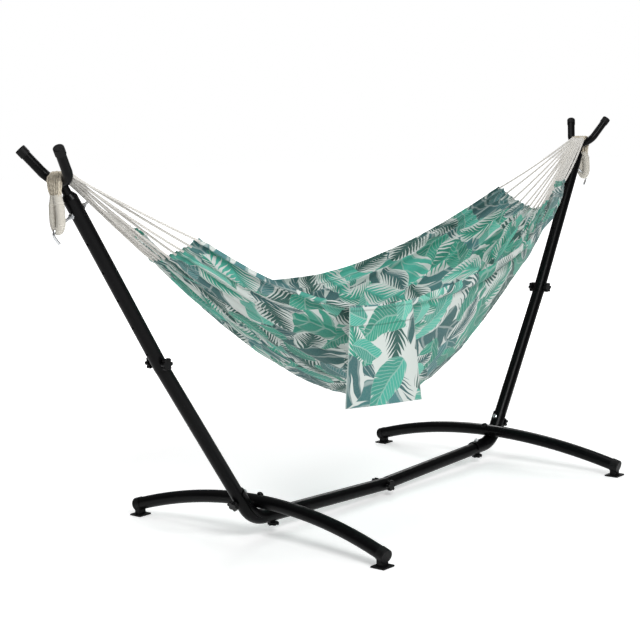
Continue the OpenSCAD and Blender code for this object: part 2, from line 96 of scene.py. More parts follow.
def layFloor():
    bpy.ops.mesh.primitive_plane_add(size=studio["floorSize"], location=(0, 0, -0.0005))
    floor = bpy.context.object
    floor.name = "studioFloor"
    paint = bpy.data.materials.new("studioFloorPaint")
    paint.use_nodes = True
    shader = paint.node_tree.nodes["Principled BSDF"]
    shader.inputs["Base Color"].default_value = (*studio["floorColor"], 1)
    shader.inputs["Roughness"].default_value = 0.9
    shader.inputs["Specular IOR Level"].default_value = 0.1
    shader.inputs["Emission Color"].default_value = (1, 1, 1, 1)
    tree = paint.node_tree
    away = tree.nodes.new("ShaderNodeVectorMath")
    away.operation = "LENGTH"
    tree.links.new(tree.nodes.new("ShaderNodeTexCoord").outputs["Object"], away.inputs[0])
    spread = tree.nodes.new("ShaderNodeMapRange")
    tree.links.new(away.outputs["Value"], spread.inputs["Value"])
    for socket, value in zip(("From Min", "From Max", "To Min", "To Max"), studio["farGlow"]):
        spread.inputs[socket].default_value = value
    glow = tree.nodes.new("ShaderNodeMath")
    glow.operation = "MULTIPLY_ADD"
    tree.links.new(spread.outputs["Result"], glow.inputs[0])
    tree.links.new(tree.nodes.new("ShaderNodeLightPath").outputs["Is Camera Ray"], glow.inputs[1])
    glow.inputs[2].default_value = studio["floorGlow"]
    tree.links.new(glow.outputs[0], shader.inputs["Emission Strength"])
    floor.data.materials.append(paint)


def fillAir():
    world = bpy.data.worlds.new("studioAir")
    world.use_nodes = True
    tree = world.node_tree
    backdrop = tree.nodes["Background"]
    backdrop.inputs["Color"].default_value = (1, 1, 1, 1)
    parts = tree.nodes.new("ShaderNodeSeparateXYZ")
    tree.links.new(tree.nodes.new("ShaderNodeTexCoord").outputs["Generated"], parts.inputs[0])
    ramp = tree.nodes.new("ShaderNodeMapRange")
    tree.links.new(parts.outputs[2], ramp.inputs["Value"])
    ramp.inputs["From Min"].default_value = studio["skyRise"][0]
    ramp.inputs["From Max"].default_value = studio["skyRise"][1]
    ramp.inputs["To Min"].default_value = studio["skyLow"]
    ramp.inputs["To Max"].default_value = studio["skyHigh"]
    seen = tree.nodes.new("ShaderNodeMath")
    seen.operation = "MAXIMUM"
    tree.links.new(ramp.outputs["Result"], seen.inputs[0])
    tree.links.new(tree.nodes.new("ShaderNodeLightPath").outputs["Is Camera Ray"], seen.inputs[1])
    tree.links.new(seen.outputs[0], backdrop.inputs["Strength"])
    bpy.context.scene.world = world


def hangLamps():
    for name, place, aim, size, watts in studio["lamps"]:
        data = bpy.data.lights.new(name, "AREA")
        data.shape = "DISK"
        data.size = size
        data.energy = watts
        lamp = bpy.data.objects.new(name, data)
        lamp.location = place
        lamp.rotation_euler = (Vector(aim) - Vector(place)).to_track_quat("-Z", "Y").to_euler()
        bpy.context.scene.collection.objects.link(lamp)


placeCamera()
layFloor()
fillAir()
hangLamps()
bpy.context.scene.view_settings.view_transform = "Standard"
print("camera and studio ready")


# ---- small helpers for node trees

def addNode(tree, kind, **settings):
    made = tree.nodes.new(kind)
    for name, value in settings.items():
        setattr(made, name, value)
    return made


def plug(tree, value, socket):
    if hasattr(value, "is_output"):
        tree.links.new(value, socket)
    else:
        socket.default_value = value


def calc(tree, how, a, b=0.0, clamp=False):
    made = addNode(tree, "ShaderNodeMath", operation=how, use_clamp=clamp)
    plug(tree, a, made.inputs[0])
    if len(made.inputs) > 1:
        plug(tree, b, made.inputs[1])
    return made.outputs[0]


def blendColor(tree, amount, below, above):
    made = addNode(tree, "ShaderNodeMix", data_type="RGBA")
    plug(tree, amount, made.inputs[0])
    for value, socket in ((below, made.inputs[6]), (above, made.inputs[7])):
        plug(tree, value if hasattr(value, "is_output") else (*value, 1), socket)
    return made.outputs[2]


def softStep(tree, value, low, high):
    made = addNode(tree, "ShaderNodeMapRange", interpolation_type="SMOOTHSTEP")
    plug(tree, value, made.inputs["Value"])
    made.inputs["From Min"].default_value = low
    made.inputs["From Max"].default_value = high
    return made.outputs["Result"]


def newGroup(name, takes, gives):
    tree = bpy.data.node_groups.new(name, "ShaderNodeTree")
    for label, kind, value in takes:
        socket = tree.interface.new_socket(name=label, in_out="INPUT", socket_type="NodeSocket" + kind)
        if value is not None:
            socket.default_value = value
    for label, kind in gives:
        tree.interface.new_socket(name=label, in_out="OUTPUT", socket_type="NodeSocket" + kind)
    return tree, addNode(tree, "NodeGroupInput"), addNode(tree, "NodeGroupOutput")


def useGroup(tree, group, **values):
    made = addNode(tree, "ShaderNodeGroup", node_tree=group)
    for label, value in values.items():
        plug(tree, value, made.inputs[label])
    return made


def newMaterial(name):
    made = bpy.data.materials.new(name)
    made.use_nodes = True
    shader = made.node_tree.nodes["Principled BSDF"]
    return made, made.node_tree, shader


def bumpFrom(tree, height, strength, distance, normal=None):
    made = addNode(tree, "ShaderNodeBump")
    made.inputs["Strength"].default_value = strength
    made.inputs["Distance"].default_value = distance
    tree.links.new(height, made.inputs["Height"])
    if normal is not None:
        tree.links.new(normal, made.inputs["Normal"])
    return made.outputs["Normal"]


# ---- shared effects: fine grain for coats, plain weave for cloth, twist for cords with painted shade in the grooves between strands

def makeGrain():
    tree, takes, gives = newGroup(
        "surfaceGrain",
        (("Fine", "Float", 900.0), ("Broad", "Float", 14.0), ("Spread", "Float", 0.12)),
        (("Height", "Float"), ("Rough", "Float"), ("Tint", "Float")),
    )
    place = addNode(tree, "ShaderNodeTexCoord").outputs["Object"]
    fine = addNode(tree, "ShaderNodeTexNoise")
    broad = addNode(tree, "ShaderNodeTexNoise")
    for made, scale in ((fine, "Fine"), (broad, "Broad")):
        tree.links.new(place, made.inputs["Vector"])
        tree.links.new(takes.outputs[scale], made.inputs["Scale"])
        made.inputs["Detail"].default_value = 3
    tree.links.new(fine.outputs["Fac"], gives.inputs["Height"])
    shift = calc(tree, "SUBTRACT", broad.outputs["Fac"], 0.5)
    tree.links.new(calc(tree, "MULTIPLY", shift, takes.outputs["Spread"]), gives.inputs["Rough"])
    tree.links.new(broad.outputs["Fac"], gives.inputs["Tint"])
    return tree


def makeWeave():
    tree, takes, gives = newGroup(
        "plainWeave",
        (("Cloth", "Vector", None), ("Threads", "Float", 700.0)),
        (("Height", "Float"), ("Shade", "Float")),
    )
    parts = addNode(tree, "ShaderNodeSeparateXYZ")
    tree.links.new(takes.outputs["Cloth"], parts.inputs[0])
    waves = []
    for axis in (0, 1):
        turns = calc(tree, "MULTIPLY", parts.outputs[axis], takes.outputs["Threads"])
        waves.append(calc(tree, "SINE", calc(tree, "MULTIPLY", turns, math.pi)))
    crossing = calc(tree, "MULTIPLY", waves[0], waves[1])
    slubs = addNode(tree, "ShaderNodeTexNoise", noise_dimensions="2D")
    tree.links.new(takes.outputs["Cloth"], slubs.inputs["Vector"])
    slubs.inputs["Scale"].default_value = 160
    slubs.inputs["Detail"].default_value = 4
    threads = calc(tree, "MULTIPLY", crossing, 0.5)
    tree.links.new(calc(tree, "ADD", threads, slubs.outputs["Fac"]), gives.inputs["Height"])
    tree.links.new(slubs.outputs["Fac"], gives.inputs["Shade"])
    return tree


def makeTwist():
    tree, takes, gives = newGroup(
        "twistedStrands",
        (("Pitch", "Float", 0.012), ("Strands", "Float", 3.0)),
        (("Height", "Float"), ("GrooveShade", "Float"), ("Fuzz", "Float")),
    )
    parts = addNode(tree, "ShaderNodeSeparateXYZ")
    tree.links.new(addNode(tree, "ShaderNodeUVMap", uv_map="UVMap").outputs["UV"], parts.inputs[0])
    around = calc(tree, "MULTIPLY", parts.outputs[0], takes.outputs["Strands"])
    along = calc(tree, "DIVIDE", parts.outputs[1], takes.outputs["Pitch"])
    lay = calc(tree, "FRACT", calc(tree, "ADD", around, along))
    ridge = calc(tree, "ABSOLUTE", calc(tree, "SUBTRACT", lay, 0.5))
    squared = calc(tree, "MULTIPLY", ridge, ridge)
    fall = calc(tree, "MULTIPLY", squared, 3.9)  # just under 4, so that a strand's edge stays above zero
    height = calc(tree, "SQRT", calc(tree, "SUBTRACT", 1.0, fall))
    fuzz = addNode(tree, "ShaderNodeTexNoise")
    tree.links.new(addNode(tree, "ShaderNodeTexCoord").outputs["Object"], fuzz.inputs["Vector"])
    fuzz.inputs["Scale"].default_value = 450
    fuzz.inputs["Detail"].default_value = 4
    roughened = calc(tree, "ADD", height, calc(tree, "MULTIPLY", fuzz.outputs["Fac"], 0.3))
    tree.links.new(roughened, gives.inputs["Height"])
    # painted shade: a mask that darkens the colour in the grooves between strands, where shade falls
    tree.links.new(softStep(tree, ridge, 0.3, 0.5), gives.inputs["GrooveShade"])
    tree.links.new(fuzz.outputs["Fac"], gives.inputs["Fuzz"])
    return tree


grain, weave, twist = makeGrain(), makeWeave(), makeTwist()


# ---- leaf shapes of the print

def scatterGroup():
    # one leaf in each cell, turned its own way; Across and Along run from -0.5 to 0.5 on a leaf
    tree, takes, gives = newGroup(
        "leafScatter",
        (
            ("Cloth", "Vector", None),
            ("Size", "Float", 0.2),
            ("Shift", "Vector", (0, 0, 0)),
            ("Swing", "Float", 6.28),
            ("Start", "Float", 0.0),
        ),
        (("Across", "Float"), ("Along", "Float"), ("Pick", "Float"), ("Second", "Float")),
    )
    scaled = addNode(tree, "ShaderNodeVectorMath", operation="DIVIDE")
    size = addNode(tree, "ShaderNodeCombineXYZ")
    for i in range(3):
        tree.links.new(takes.outputs["Size"], size.inputs[i])
    tree.links.new(takes.outputs["Cloth"], scaled.inputs[0])
    tree.links.new(size.outputs[0], scaled.inputs[1])
    moved = addNode(tree, "ShaderNodeVectorMath", operation="ADD")
    tree.links.new(scaled.outputs[0], moved.inputs[0])
    tree.links.new(takes.outputs["Shift"], moved.inputs[1])
    cells = addNode(tree, "ShaderNodeTexVoronoi", voronoi_dimensions="2D", feature="F1")
    cells.inputs["Scale"].default_value = 1
    cells.inputs["Randomness"].default_value = 0.8
    tree.links.new(moved.outputs[0], cells.inputs["Vector"])
    local = addNode(tree, "ShaderNodeVectorMath", operation="SUBTRACT")
    tree.links.new(moved.outputs[0], local.inputs[0])
    tree.links.new(cells.outputs["Position"], local.inputs[1])
    chance = addNode(tree, "ShaderNodeSeparateColor")
    tree.links.new(cells.outputs["Color"], chance.inputs[0])
    turned = addNode(tree, "ShaderNodeVectorRotate", rotation_type="Z_AXIS")
    tree.links.new(local.outputs[0], turned.inputs["Vector"])
    swing = calc(tree, "MULTIPLY", chance.outputs[0], takes.outputs["Swing"])
    angle = calc(tree, "ADD", swing, takes.outputs["Start"])
    tree.links.new(angle, turned.inputs["Angle"])
    parts = addNode(tree, "ShaderNodeSeparateXYZ")
    tree.links.new(turned.outputs[0], parts.inputs[0])
    squared = calc(tree, "MULTIPLY", parts.outputs[1], parts.outputs[1])
    curl = calc(tree, "SUBTRACT", calc(tree, "MULTIPLY", chance.outputs[2], 1.8), 0.9)
    bow = calc(tree, "MULTIPLY", squared, curl)
    tree.links.new(calc(tree, "ADD", parts.outputs[0], bow), gives.inputs["Across"])
    tree.links.new(parts.outputs[1], gives.inputs["Along"])
    tree.links.new(chance.outputs[1], gives.inputs["Pick"])
    tree.links.new(chance.outputs[2], gives.inputs["Second"])
    return tree


def leafGroup(
    name, halfLength, halfWidth, waist, ribs, ribSlant, ribFill, cuts, cutSlant, cutFill, cutStart
):
    # the outline of one leaf with its midrib, side ribs and cuts
    tree, takes, gives = newGroup(
        name,
        (("Across", "Float", 0.0), ("Along", "Float", 0.0)),
        (("Mask", "Float"), ("Rib", "Float"), ("Half", "Float"), ("Outline", "Float")),
    )
    across, along = takes.outputs["Across"], takes.outputs["Along"]
    side = calc(tree, "ABSOLUTE", across)
    t = calc(tree, "DIVIDE", along, halfLength)
    ellipse = calc(tree, "SUBTRACT", 1.0, calc(tree, "MULTIPLY", t, t))
    bulge = calc(tree, "SQRT", calc(tree, "MAXIMUM", ellipse, 0.0))
    lean = calc(tree, "SUBTRACT", 1.0, calc(tree, "MULTIPLY", t, waist))
    edge = calc(tree, "MULTIPLY", calc(tree, "MULTIPLY", bulge, lean), halfWidth)
    reach = calc(tree, "DIVIDE", side, calc(tree, "MAXIMUM", edge, 0.001))
    inside = softStep(tree, calc(tree, "SUBTRACT", edge, side), 0.0, 0.012)
    chevron = calc(tree, "SUBTRACT", along, calc(tree, "MULTIPLY", side, ribSlant))
    ribPlace = calc(tree, "FRACT", calc(tree, "MULTIPLY", chevron, ribs))
    wave = calc(tree, "ABSOLUTE", calc(tree, "SUBTRACT", ribPlace, 0.5))
    rib = calc(tree, "SUBTRACT", 1.0, softStep(tree, wave, ribFill, ribFill + 0.09))
    midrib = calc(tree, "SUBTRACT", 1.0, softStep(tree, side, 0.008, 0.018))
    slant = calc(tree, "SUBTRACT", along, calc(tree, "MULTIPLY", side, cutSlant))
    cutPlace = calc(tree, "FRACT", calc(tree, "ADD", calc(tree, "MULTIPLY", slant, cuts), 0.25))
    notch = calc(tree, "ABSOLUTE", calc(tree, "SUBTRACT", cutPlace, 0.5))
    width = calc(tree, "MULTIPLY", calc(tree, "SUBTRACT", reach, cutStart), cutFill)
    gap = softStep(tree, calc(tree, "SUBTRACT", width, notch), 0.0, 0.05)
    mask = calc(tree, "MULTIPLY", inside, calc(tree, "SUBTRACT", 1.0, gap))
    tree.links.new(mask, gives.inputs["Mask"])
    tree.links.new(inside, gives.inputs["Outline"])
    tree.links.new(calc(tree, "MAXIMUM", rib, midrib), gives.inputs["Rib"])
    tree.links.new(softStep(tree, across, -0.01, 0.01), gives.inputs["Half"])
    return tree


leafPrint = {
    "ground": (0.60, 0.65, 0.62),
    "mint": (0.105, 0.49, 0.375),
    "emerald": (0.020, 0.30, 0.205),
    "jade": (0.045, 0.385, 0.29),
    "teal": (0.030, 0.118, 0.122),
    "slate": (0.050, 0.195, 0.20),
    "deep": (0.010, 0.085, 0.070),
    "washed": 0.34,  # how much darker one half of a leaf is
    "wander": (9, 0.035),  # how fine and how far the print strays from its plan
    "swing": 6.28,  # leaves point any way round
    # leaf, cell size, shift, start angle, how many, palette, line colour, line strength
    "layers": (
        ("palmFrond", 0.19, (1.3, 7.9), 1.0, 1.00, ("deep", "teal", "slate", "teal"), "ground", 0.0),
        ("broadLeaf", 0.25, (0.0, 0.0), 0.0, 0.80, ("slate", "emerald", "teal", "mint"), "ground", 0.35),
        ("splitLeaf", 0.30, (3.7, 1.2), 0.4, 0.80, ("teal", "slate", "deep", "teal"), "ground", 0.4),
        ("palmFrond", 0.22, (2.3, 8.9), 2.0, 0.45, ("deep", "emerald", "teal", "deep"), "ground", 0.0),
        ("broadLeaf", 0.20, (7.1, 5.3), 1.0, 0.70, ("emerald", "mint", "jade", "emerald"), "ground", 0.32),
        ("splitLeaf", 0.24, (9.9, 4.1), 3.0, 0.42, ("emerald", "jade", "teal", "slate"), "ground", 0.3),
        ("palmFrond", 0.15, (4.4, 6.6), 4.0, 0.36, ("teal", "deep", "deep", "emerald"), "ground", 0.0),
        ("broadLeaf", 0.14, (5.2, 2.6), 0.7, 0.25, ("mint", "jade", "slate", "emerald"), "ground", 0.4),
        ("palmFrond", 0.18, (8.2, 0.4), 5.0, 0.25, ("emerald", "deep", "jade", "mint"), "deep", 0.0),
    ),
}


def makePrint():
    leaves = {
        "broadLeaf": leafGroup(
            "broadLeaf", halfLength=0.56, halfWidth=0.24, waist=0.25,
            ribs=13, ribSlant=0.9, ribFill=0.05, cuts=3.1, cutSlant=1.0, cutFill=0.16, cutStart=0.55,
        ),
        "splitLeaf": leafGroup(
            "splitLeaf", halfLength=0.50, halfWidth=0.46, waist=0.35,
            ribs=4.6, ribSlant=0.7, ribFill=0.03, cuts=4.6, cutSlant=0.7, cutFill=0.42, cutStart=0.30,
        ),
        "palmFrond": leafGroup(
            "palmFrond", halfLength=0.56, halfWidth=0.34, waist=0.15,
            ribs=9, ribSlant=1.25, ribFill=0.05, cuts=9, cutSlant=1.25, cutFill=0.52, cutStart=0.0,
        ),
    }
    scatter = scatterGroup()
    tree, takes, gives = newGroup(
        "leafPrint",
        (("Cloth", "Vector", None),),
        (("Color", "Color"), ("Ink", "Float")),
    )
    wander = addNode(tree, "ShaderNodeTexNoise", noise_dimensions="2D")
    tree.links.new(takes.outputs["Cloth"], wander.inputs["Vector"])
    wander.inputs["Scale"].default_value = leafPrint["wander"][0]
    centred = addNode(tree, "ShaderNodeVectorMath", operation="SUBTRACT")
    tree.links.new(wander.outputs["Color"], centred.inputs[0])
    centred.inputs[1].default_value = (0.5, 0.5, 0.5)
    small = addNode(tree, "ShaderNodeVectorMath", operation="SCALE")
    tree.links.new(centred.outputs[0], small.inputs[0])
    small.inputs["Scale"].default_value = leafPrint["wander"][1]
    bent = addNode(tree, "ShaderNodeVectorMath", operation="ADD")
    tree.links.new(takes.outputs["Cloth"], bent.inputs[0])
    tree.links.new(small.outputs[0], bent.inputs[1])
    color, ink = leafPrint["ground"], 0.0
    for leaf, size, shift, start, share, palette, line, strength in leafPrint["layers"]:
        spot = useGroup(
            tree, scatter, Cloth=bent.outputs[0], Size=size, Shift=(*shift, 0),
            Swing=leafPrint["swing"], Start=start,
        )
        shape = useGroup(tree, leaves[leaf], Across=spot.outputs["Across"], Along=spot.outputs["Along"])
        ramp = addNode(tree, "ShaderNodeValToRGB")
        ramp.color_ramp.interpolation = "CONSTANT"
        while len(ramp.color_ramp.elements) < len(palette):
            ramp.color_ramp.elements.new(0.5)
        for i, name in enumerate(palette):
            ramp.color_ramp.elements[i].position = i / len(palette)
            ramp.color_ramp.elements[i].color = (*leafPrint[name], 1)
        tree.links.new(spot.outputs["Second"], ramp.inputs["Fac"])
        washed = calc(tree, "MULTIPLY", shape.outputs["Half"], leafPrint["washed"])
        tone = blendColor(tree, washed, ramp.outputs["Color"], leafPrint["deep"])
        tone = blendColor(tree, calc(tree, "MULTIPLY", shape.outputs["Rib"], strength), tone, leafPrint[line])
        kept = calc(tree, "LESS_THAN", spot.outputs["Pick"], share)
        mask = calc(tree, "MULTIPLY", shape.outputs["Mask"], kept)
        backing = calc(tree, "MULTIPLY", shape.outputs["Outline"], kept)
        # the pale cloth shows between the leaf's fingers
        color = blendColor(tree, backing, color, leafPrint["ground"])
        color = blendColor(tree, mask, color, tone)
        ink = calc(tree, "MAXIMUM", mask, ink)
    tree.links.new(color, gives.inputs["Color"])
    tree.links.new(ink, gives.inputs["Ink"])
    return tree


printGroup = makePrint()


# ---- finishes

def powderCoat():
    made, tree, shader = newMaterial("blackPowderCoat")
    surface = useGroup(tree, grain, Fine=1400.0, Broad=9.0, Spread=0.16)
    dark, light = (0.0014, 0.0014, 0.0017), (0.0034, 0.0034, 0.0038)
    color = blendColor(tree, surface.outputs["Tint"], dark, light)
    tree.links.new(color, shader.inputs["Base Color"])
    tree.links.new(calc(tree, "ADD", surface.outputs["Rough"], 0.30), shader.inputs["Roughness"])
    tree.links.new(bumpFrom(tree, surface.outputs["Height"], 0.12, 0.0006), shader.inputs["Normal"])
    shader.inputs["Specular IOR Level"].default_value = 0.10
    return made


def mouldedRubber(name, tint, rough):
    made, tree, shader = newMaterial(name)
    surface = useGroup(tree, grain, Fine=2200.0, Broad=30.0, Spread=0.2)
    color = blendColor(tree, surface.outputs["Tint"], [c * 0.7 for c in tint], tint)
    tree.links.new(color, shader.inputs["Base Color"])
    tree.links.new(calc(tree, "ADD", surface.outputs["Rough"], rough), shader.inputs["Roughness"])
    tree.links.new(bumpFrom(tree, surface.outputs["Height"], 0.25, 0.0006), shader.inputs["Normal"])
    shader.inputs["Specular IOR Level"].default_value = 0.16
    return made


def brightZinc():
    made, tree, shader = newMaterial("brightZinc")
    surface = useGroup(tree, grain, Fine=500.0, Broad=60.0, Spread=0.3)
    color = blendColor(tree, surface.outputs["Tint"], (0.52, 0.54, 0.56), (0.80, 0.81, 0.82))
    tree.links.new(color, shader.inputs["Base Color"])
    shader.inputs["Metallic"].default_value = 1.0
    tree.links.new(calc(tree, "ADD", surface.outputs["Rough"], 0.26), shader.inputs["Roughness"])
    tree.links.new(bumpFrom(tree, surface.outputs["Height"], 0.12, 0.0004), shader.inputs["Normal"])
    return made


def twistedCotton(name, pitch, strands, light, dark):
    made, tree, shader = newMaterial(name)
    lay = useGroup(tree, twist, Pitch=pitch, Strands=strands)
    color = blendColor(tree, lay.outputs["Fuzz"], [c * 0.9 for c in light], light)
    # painted shade: the grooves between the strands get the darker colour
    color = blendColor(tree, calc(tree, "MULTIPLY", lay.outputs["GrooveShade"], 0.6), color, dark)
    tree.links.new(color, shader.inputs["Base Color"])
    shader.inputs["Roughness"].default_value = 0.9
    shader.inputs["Sheen Weight"].default_value = 0.25
    shader.inputs["Specular IOR Level"].default_value = 0.15
    tree.links.new(bumpFrom(tree, lay.outputs["Height"], 0.8, 0.0012), shader.inputs["Normal"])
    return made


def printedCotton():
    made, tree, shader = newMaterial("printedCotton")
    cloth = addNode(tree, "ShaderNodeUVMap", uv_map="UVMap").outputs["UV"]
    pattern = useGroup(tree, printGroup, Cloth=cloth)
    threads = useGroup(tree, weave, Cloth=cloth, Threads=640.0)
    seams = addNode(tree, "ShaderNodeAttribute", attribute_name="stitch")
    slubColor, seamColor, trimColor = (0.70, 0.72, 0.70), (0.02, 0.07, 0.06), (0.55, 0.62, 0.58)
    slubs = calc(tree, "MULTIPLY", threads.outputs["Shade"], 0.10)
    color = blendColor(tree, slubs, pattern.outputs["Color"], slubColor)
    color = blendColor(tree, calc(tree, "MULTIPLY", seams.outputs["Fac"], 0.55), color, seamColor)
    trim = addNode(tree, "ShaderNodeAttribute", attribute_name="piping")
    color = blendColor(tree, trim.outputs["Fac"], color, trimColor)
    tree.links.new(color, shader.inputs["Base Color"])
    rough = calc(tree, "ADD", calc(tree, "MULTIPLY", pattern.outputs["Ink"], -0.06), 0.86)
    tree.links.new(rough, shader.inputs["Roughness"])
    shader.inputs["Specular IOR Level"].default_value = 0.2
    shader.inputs["Sheen Weight"].default_value = 0.12
    tree.links.new(bumpFrom(tree, threads.outputs["Height"], 0.35, 0.0006), shader.inputs["Normal"])
    return made


coat = powderCoat()
rubber = mouldedRubber("mouldedRubber", (0.005, 0.005, 0.0055), 0.52)
nylon = mouldedRubber("grainedNylon", (0.004, 0.004, 0.0045), 0.42)
zinc = brightZinc()
# the last colour of each cotton is the painted shade of its strand grooves
cordCotton = twistedCotton("cordCotton", 0.011, 3.0, (0.74, 0.72, 0.68), (0.52, 0.49, 0.44))
ropeCotton = twistedCotton("ropeCotton", 0.014, 3.0, (0.62, 0.56, 0.45), (0.24, 0.19, 0.12))
wrapCotton = twistedCotton("wrapCotton", 0.0034, 1.0, (0.68, 0.65, 0.58), (0.40, 0.36, 0.28))
cotton = printedCotton()
print("finishes ready")

finishOf = {"black_steel": coat, "cap_rubber": rubber, "knob_plastic": nylon, "zinc_steel": zinc}


def dressStand():
    for part in frame["record"]["subparts"]:
        finish = finishOf.get(part["material_slot"])
        if finish:
            for slot in nodes[part["node"]].material_slots:
                slot.material = finish


dressStand()


# ---- helpers for sheets and cords

def finishMesh(name, points, faces, layout):
    mesh = bpy.data.meshes.new(name)
    mesh.from_pydata(points, [], faces)
    uv = mesh.uv_layers.new(name="UVMap")
    for loop, corner in zip(mesh.loops, uv.data):
        corner.uv = layout[loop.vertex_index]
    for face in mesh.polygons:
        face.use_smooth = True
    made = bpy.data.objects.new(name, mesh)
    bpy.context.scene.collection.objects.link(made)
    return made


def selectOnly(piece):
    bpy.ops.object.select_all(action="DESELECT")
    bpy.context.view_layer.objects.active = piece
    piece.select_set(True)


def applyModifier(piece, kind, **settings):
    selectOnly(piece)
    made = piece.modifiers.new(kind, kind)
    for name, value in settings.items():
        setattr(made, name, value)
    bpy.ops.object.modifier_apply(modifier=made.name)


def smoothPath(points, steps):
    # a Catmull-Rom curve through the points
    ends = [points[0] * 2 - points[1], *points, points[-1] * 2 - points[-2]]
    path = []
    for a, b, c, d in zip(ends, ends[1:], ends[2:], ends[3:]):
        for i in range(steps):
            t = i / steps
            square = (2 * a - 5 * b + 4 * c - d) * t * t
            cube = (3 * b - a - 3 * c + d) * t ** 3
            path.append(0.5 * (2 * b + (c - a) * t + square + cube))
    return path + [points[-1].copy()]


def tubeAlong(name, paths, widths, sides):
    # round cords along the paths; the cloth map runs once around and in metres along
    points, faces, spread = [], [], []
    for path, width in zip(paths, widths):
        start = len(points)
        count = len(path)
        tangent = (path[1] - path[0]).normalized()
        side = tangent.orthogonal().normalized()
        run = 0.0
        for k, spot in enumerate(path):
            before, after = path[max(k - 1, 0)], path[min(k + 1, count - 1)]
            tangent = (after - before).normalized()
            side = (side - tangent * side.dot(tangent)).normalized()
            other = tangent.cross(side)
            run += (spot - path[k - 1]).length if k else 0.0
            radius = (width[k] if hasattr(width, "__len__") else width) / 2
            for i in range(sides + 1):
                angle = 2 * math.pi * i / sides
                points.append(spot + (side * math.cos(angle) + other * math.sin(angle)) * radius)
                spread.append((i / sides, run))
        for k in range(count - 1):
            a = start + k * (sides + 1)
            b = a + sides + 1
            faces += [(a + i, a + i + 1, b + i + 1, b + i) for i in range(sides)]
        faces.append(tuple(start + i for i in range(sides))[::-1])
        faces.append(tuple(start + (count - 1) * (sides + 1) + i for i in range(sides)))
    return finishMesh(name, points, faces, spread)


# ---- the cloth bed

bed = {
    "halfLength": 0.945,  # at the corners
    "hemBulge": 0.045,
    "halfWidth": 0.430,
    "endHalfWidth": 0.140,
    "edgeAngle": 78.0,
    "lowest": 0.340,
    "nearEdge": (-0.38, 0.737, 0.981, 1.041, 1.35),  # low place, low height, left corner, right corner, bend
    "farEdge": (0.10, 0.733, 1.011, 1.011, 2.0),
    "steps": (250, 170),
    "cut": (1.38, 2.05),  # metres, before gathering
    "pleatDepth": 0.032,
    "pleats": 14,
    "wrinkle": 0.005,
    "hemRoll": 0.011,
    # place across the bed, how near the middle it runs out
    "longFolds": ((0.86, 0.02), (0.66, 0.12), (0.45, 0.05), (0.25, 0.2)),
    # beside the fold's place, width, height
    "foldCrest": (0.035, 0.03, 0.012),
    "foldValley": (-0.012, 0.014, 0.020),
    # the bottom's curve from the middle to the hems: half its length, rise, bend
    "belly": (0.96, 0.557, 1.45),
    # how much the sides pull in below the edges: in the middle, more towards the hems
    "tuck": (0.22, 0.5),
    "hemSeams": (0.938, 0.972),  # along the edges, along the ends
    "thickness": 0.0016,
    "seed": 11,
}
pleatDice = random.Random(bed["seed"])
# depth and length of each pleat, at the left and at the right hem
pleats = [
    [(pleatDice.uniform(0.45, 1.0), pleatDice.uniform(0.55, 1.0)) for k in range(bed["pleats"] + 4)]
    for end in (0, 1)
]


def edgeHeight(x, sideOfBed):
    low, height, left, right, bend = bed["nearEdge"] if sideOfBed < 0 else bed["farEdge"]
    reach = bed["halfLength"]
    if x < low:
        return height + (left - height) * ((low - x) / (reach + low)) ** 2
    return height + (right - height) * ((x - low) / (reach - low)) ** bend


def bedPoint(s, v):
    # s runs from the left hem to the right hem, v from the near edge to the far edge
    x = s * (bed["halfLength"] + bed["hemBulge"] * (1 - v * v))
    share = s * s
    width = bed["halfWidth"] + (bed["endHalfWidth"] - bed["halfWidth"]) * share
    angle = math.radians(bed["edgeAngle"])
    a = v * angle
    edge = edgeHeight(s * bed["halfLength"], v)
    bellyHalf, rise, bend = bed["belly"]
    reach = abs(x) / bellyHalf
    bottom = bed["lowest"] + rise * reach ** bend
    drop = math.cos(a) - math.cos(angle)
    pull, taper = bed["tuck"]
    tuck = 1 - (pull + taper * reach) * drop
    y = width * math.sin(a) / math.sin(angle) * tuck
    return Vector((x, y, edge - (edge - bottom) * drop / (1 - math.cos(angle))))


def ridge(away, width):
    # a smooth ridge, 1 high, around the place where away is 0
    return math.exp(-(away / width) ** 2)


def pleatHeight(s, v):
    # round pleats with sharp valleys, gathered at the hems and running out towards the middle;
    # they are counted from a little before the near edge to a little past the far one
    beyond = 1.08
    reach = abs(s)
    waver = 0.035 * math.sin(4 * v + 3 * reach) + 0.02 * math.sin(11 * v)
    run = (v + waver + beyond) / (2 * beyond) * bed["pleats"]
    depth, length = pleats[0 if s < 0 else 1][int(run)]
    fade = max(0.0, (reach - 1 + length) / length)
    flatter = 0.55 + 0.45 * (1 - reach) / 0.5 if reach > 0.5 else 1.0
    wave = abs(math.sin(math.pi * run)) ** 0.5 - 0.6
    return bed["pleatDepth"] * depth * fade ** 0.8 * flatter * wave


def longFoldHeight(s, v):
    # the folds that run along the right half, each a valley with a crest beside it
    crestPlace, crestWidth, crest = bed["foldCrest"]
    valleyPlace, valleyWidth, valley = bed["foldValley"]
    total = 0.0
    for place, out in bed["longFolds"]:
        away = v - place - 0.16 * (1 - s) * (place - 0.5)
        fade = min(1.0, max(0.0, (s - out) / 0.3)) * min(1.0, (1.02 - s) / 0.25)
        if fade > 0 and abs(away) < 0.3:
            up = crest * ridge(away - crestPlace, crestWidth)
            down = valley * ridge(away - valleyPlace, valleyWidth)
            total += fade * (up - down)
    return total


def hemHeight(s, v):
    # the rolled hems along the edges, and the flatter ones at the ends
    edge, reach = abs(v), abs(s)
    rolled = ridge(edge - 0.975, 0.022) - 0.9 * ridge(edge - 0.928, 0.014)
    ends = 0.004 * ridge(reach - 0.99, 0.008) - 0.003 * ridge(reach - 0.968, 0.006)
    return bed["hemRoll"] * rolled + ends


